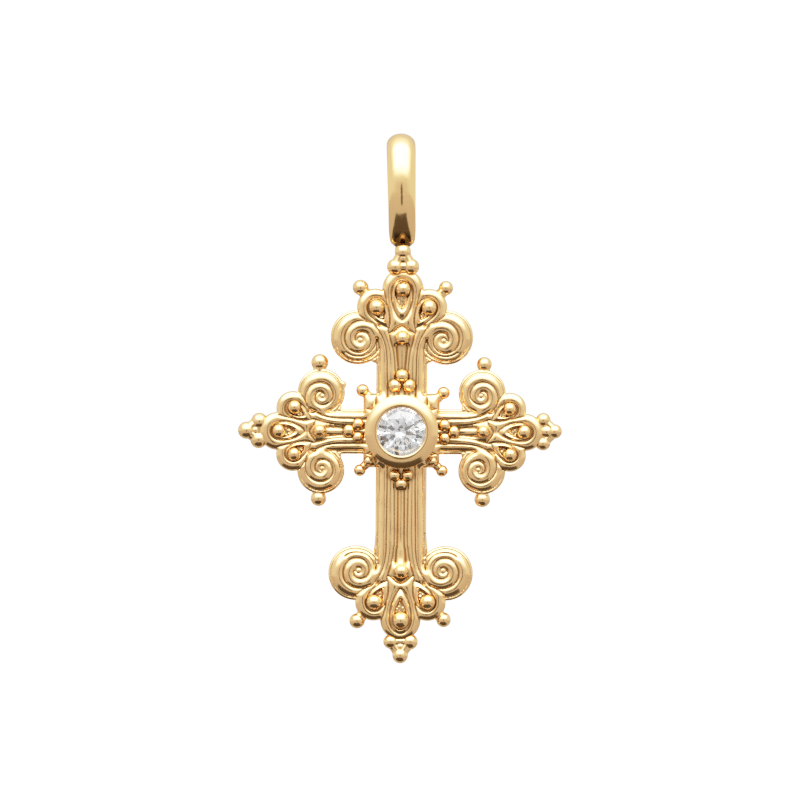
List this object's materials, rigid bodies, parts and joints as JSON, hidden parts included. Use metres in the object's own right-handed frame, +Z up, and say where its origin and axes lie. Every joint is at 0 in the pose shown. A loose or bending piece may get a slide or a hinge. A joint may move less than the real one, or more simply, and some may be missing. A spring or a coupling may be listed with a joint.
{
  "type": "cross pendant",
  "caption": "Baroque trefoil cross pendant in cast yellow metal with a round clear stone in a smooth collar, hinged to a plain teardrop bail.",
  "frame": {"origin": "middle of the bail's inside top, where the chain sits", "axes": "+Z up from the foot of the cross to the bail, +X to the right of a viewer who faces the front, -Y out of the front face"},
  "size_m": [0.0248, 0.0055, 0.0407],
  "materials": {
    "cast_gold": "polished yellow gold plate on a cast relief",
    "bail_gold": "smooth polished yellow gold plate",
    "clear_stone": "cut and polished clear stone"
  },
  "bodies": {
    "bail": {"bail": "bail_gold"},
    "cross": {"cross": "cast_gold", "stone": "clear_stone"}
  },
  "joints": [
    {"name": "cross_swing", "type": "hinge", "parent": "bail", "child": "cross", "pos_m": [0, 0, -0.00762], "axis": [1, 0, 0], "range_deg": [-9, 40]}
  ]
}
